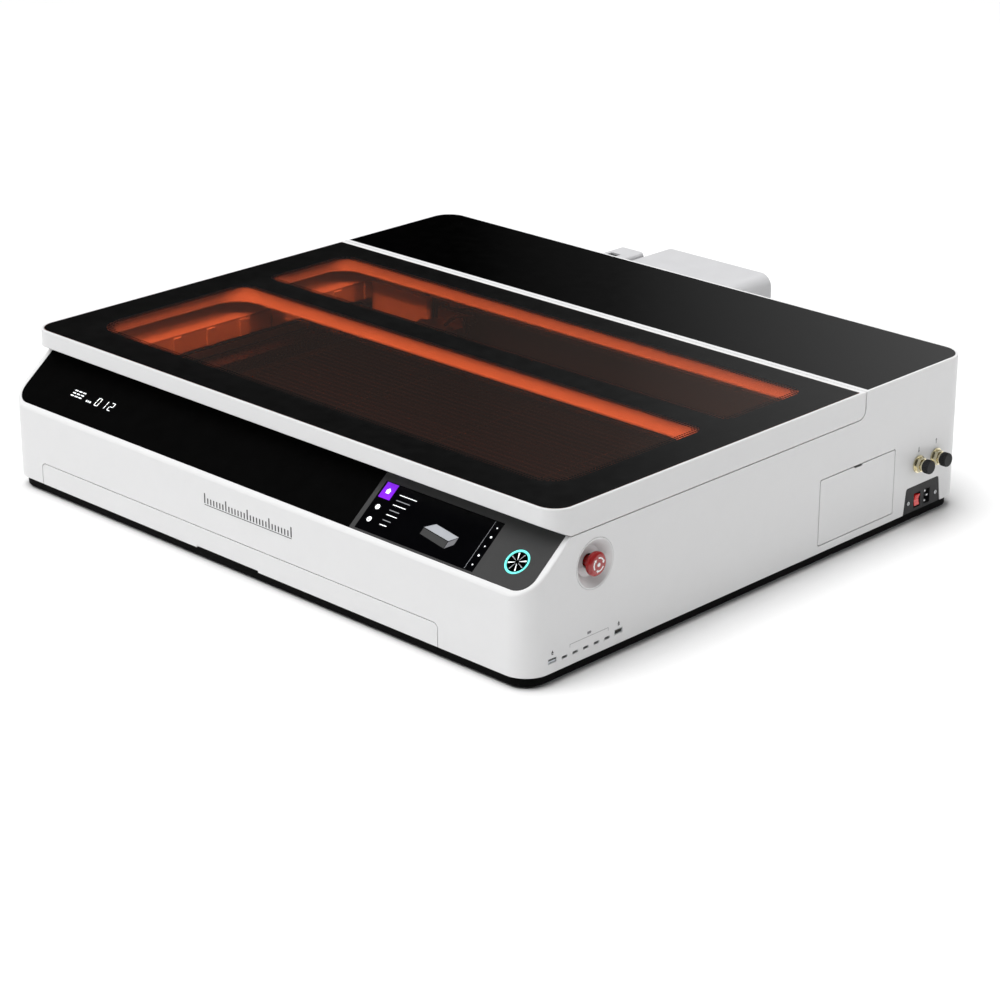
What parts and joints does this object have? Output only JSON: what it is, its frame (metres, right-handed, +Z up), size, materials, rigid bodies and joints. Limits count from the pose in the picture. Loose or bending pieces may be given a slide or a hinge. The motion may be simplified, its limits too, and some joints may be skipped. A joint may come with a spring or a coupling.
{
  "type": "laser engraver",
  "caption": "Flat desktop laser engraver with a tinted glazed lid, sloping control fascia, moving gantry and head, debris drawer, side controls and rear fume filter.",
  "frame": {"origin": "on the standing surface under the centre of the cabinet, on the middle foot's line", "axes": "X is the cabinet's width with the controls' side panel at +X, +Y points to the back, +Z is up"},
  "size_m": [1.022, 0.995, 0.22],
  "materials": {
    "base_plinth": "matte black",
    "bed_frame": "black",
    "carriage": "black anodised",
    "casing_front": "satin white moulding",
    "casing_left": "satin white moulding",
    "casing_rear": "satin white moulding",
    "casing_right": "satin white moulding",
    "chamber_floor": "black",
    "chamber_walls": "white powder coat",
    "circuit_boards": "solder resist",
    "coupling_bodies": "nickel plated brass",
    "coupling_cap_front": "matte",
    "coupling_cap_rear": "matte",
    "data_ports": "stamped steel",
    "drawer_front": "satin white moulding",
    "drawer_tray": "galvanised",
    "estop_bezel": "satin white",
    "estop_knob": "satin red",
    "estop_stem": "matte",
    "exhaust_fan": "matte",
    "fan_rotor": "matte",
    "fascia_left": "gloss black",
    "fascia_right": "gloss black",
    "filter_cartridge": "pleated media",
    "filter_housing": "satin white",
    "gantry_beam": "black anodised",
    "gantry_ends": "black anodised",
    "head_body": "anodised",
    "hinge_arms": "white powder coat",
    "hinge_brackets": "satin",
    "inlet_plate": "matte black",
    "inlet_screws": "plated",
    "laser_power_supply": "grey",
    "laser_tube": "clear glass",
    "lens_tube": "turned",
    "lid_frame": "satin white moulding",
    "lid_glass": "orange tinted, gloss",
    "lid_liner": "matte white",
    "mains_socket": "matte black",
    "mirror_cover": "white powder coat",
    "rear_cover_frame": "satin white moulding",
    "rear_cover_plate": "gloss black",
    "rocker_switch": "red",
    "rubber_feet": "matte",
    "side_hatch": "satin white moulding",
    "slat_bed": "black anodised",
    "start_button": "gloss dark teal",
    "start_ring": "lit teal diffuser",
    "top_deck": "satin white moulding",
    "touch_display": "gloss",
    "tube_mounts": "matte",
    "x_belt": "matte",
    "x_idler": "turned",
    "x_motor": "black",
    "x_pulley": "turned",
    "y_belts": "matte",
    "y_drive_shaft": "turned",
    "y_idlers": "turned",
    "y_motor": "black",
    "y_rails": "black"
  },
  "bodies": {
    "cabinet": {"base_plinth": "base_plinth", "bed_frame": "bed_frame", "casing_front": "casing_front", "casing_left": "casing_left", "casing_rear": "casing_rear", "casing_right": "casing_right", "chamber_floor": "chamber_floor", "chamber_walls": "chamber_walls", "circuit_boards": "circuit_boards", "coupling_bodies": "coupling_bodies", "data_ports": "data_ports", "estop_bezel": "estop_bezel", "exhaust_fan": "exhaust_fan", "fascia_left": "fascia_left", "fascia_right": "fascia_right", "filter_cartridge": "filter_cartridge", "filter_housing": "filter_housing", "hinge_brackets": "hinge_brackets", "inlet_plate": "inlet_plate", "inlet_screws": "inlet_screws", "laser_power_supply": "laser_power_supply", "laser_tube": "laser_tube", "mains_socket": "mains_socket", "mirror_cover": "mirror_cover", "rear_cover_frame": "rear_cover_frame", "rear_cover_plate": "rear_cover_plate", "rubber_feet": "rubber_feet", "slat_bed": "slat_bed", "start_ring": "start_ring", "top_deck": "top_deck", "touch_display": "touch_display", "tube_mounts": "tube_mounts", "y_belts": "y_belts", "y_motor": "y_motor", "y_rails": "y_rails"},
    "lid": {"lid_frame": "lid_frame", "lid_liner": "lid_liner", "lid_glass": "lid_glass", "hinge_arms": "hinge_arms"},
    "drawer": {"drawer_front": "drawer_front", "drawer_tray": "drawer_tray"},
    "hatch": {"side_hatch": "side_hatch"},
    "gantry": {"gantry_beam": "gantry_beam", "gantry_ends": "gantry_ends", "x_belt": "x_belt", "x_motor": "x_motor"},
    "drive_shaft": {"y_drive_shaft": "y_drive_shaft"},
    "belt_idlers": {"y_idlers": "y_idlers"},
    "gantry_pulley": {"x_pulley": "x_pulley"},
    "gantry_idler": {"x_idler": "x_idler"},
    "head": {"carriage": "carriage", "head_body": "head_body"},
    "lens": {"lens_tube": "lens_tube"},
    "start_key": {"start_button": "start_button"},
    "stop_stem": {"estop_stem": "estop_stem"},
    "stop_knob": {"estop_knob": "estop_knob"},
    "rocker": {"rocker_switch": "rocker_switch"},
    "cap_front": {"coupling_cap_front": "coupling_cap_front"},
    "cap_rear": {"coupling_cap_rear": "coupling_cap_rear"},
    "fan": {"fan_rotor": "fan_rotor"}
  },
  "joints": [
    {"name": "lid_hinge", "type": "hinge", "parent": "cabinet", "child": "lid", "pos_m": [0, 0.234, 0.211], "axis": [-1, 0, 0], "range_deg": [0, 62]},
    {"name": "drawer_slide", "type": "slide", "parent": "cabinet", "child": "drawer", "axis": [0, -1, 0], "range_m": [0, 0.35]},
    {"name": "hatch_hinge", "type": "hinge", "parent": "cabinet", "child": "hatch", "pos_m": [0.4985, 0.197, 0.0305], "axis": [0, 1, 0], "range_deg": [0, 88]},
    {"name": "gantry_slide", "type": "slide", "parent": "cabinet", "child": "gantry", "axis": [0, -1, 0], "range_m": [0, 0.41]},
    {"name": "head_slide", "type": "slide", "parent": "gantry", "child": "head", "axis": [1, 0, 0], "range_m": [-0.14, 0.565]},
    {"name": "focus_slide", "type": "slide", "parent": "head", "child": "lens", "axis": [0, 0, -1], "range_m": [0, 0.01]},
    {"name": "shaft_turn", "type": "hinge", "parent": "cabinet", "child": "drive_shaft", "pos_m": [0, 0.216, 0.114], "axis": [1, 0, 0], "range_deg": [-5, 3380]},
    {"name": "idler_turn", "type": "hinge", "parent": "cabinet", "child": "belt_idlers", "pos_m": [0, -0.322, 0.114], "axis": [1, 0, 0], "range_deg": [-5, 3380]},
    {"name": "pulley_turn", "type": "hinge", "parent": "gantry", "child": "gantry_pulley", "pos_m": [0.452, 0.141, 0.146], "axis": [0, 1, 0], "range_deg": [-1620, 6500]},
    {"name": "gantry_idler_turn", "type": "hinge", "parent": "gantry", "child": "gantry_idler", "pos_m": [-0.452, 0.141, 0.146], "axis": [0, 1, 0], "range_deg": [-1620, 6500]},
    {"name": "start_press", "type": "slide", "parent": "cabinet", "child": "start_key", "axis": [0, 0.6269, -0.7791], "range_m": [0, 0.001], "stiffness_N_per_m": 800, "springref_m": -0.0005},
    {"name": "stop_press", "type": "slide", "parent": "cabinet", "child": "stop_stem", "axis": [-1, 0, 0], "range_m": [0, 0.004], "stiffness_N_per_m": 1500, "springref_m": -0.001},
    {"name": "stop_twist", "type": "hinge", "parent": "stop_stem", "child": "stop_knob", "pos_m": [0.495, -0.3168, 0.1365], "axis": [1, 0, 0], "range_deg": [0, 45], "stiffness_Nm_per_rad": 0.05},
    {"name": "rocker_tilt", "type": "hinge", "parent": "cabinet", "child": "rocker", "pos_m": [0.494, 0.3338, 0.0323], "axis": [0, 1, 0], "range_deg": [0, 8]},
    {"name": "cap_front_pull", "type": "slide", "parent": "cabinet", "child": "cap_front", "axis": [1, 0, 0], "range_m": [0, 0.03]},
    {"name": "cap_rear_pull", "type": "slide", "parent": "cabinet", "child": "cap_rear", "axis": [1, 0, 0], "range_m": [0, 0.03]},
    {"name": "fan_turn", "type": "hinge", "parent": "cabinet", "child": "fan", "pos_m": [-0.052, 0.411, 0.118], "axis": [0, 1, 0], "continuous": true}
  ],
  "couplings": [
    {"joint": "shaft_turn", "follows": "gantry_slide", "rad_per_m": 140.84},
    {"joint": "idler_turn", "follows": "gantry_slide", "rad_per_m": 140.84},
    {"joint": "pulley_turn", "follows": "head_slide", "rad_per_m": 196.08},
    {"joint": "gantry_idler_turn", "follows": "head_slide", "rad_per_m": 196.08}
  ]
}
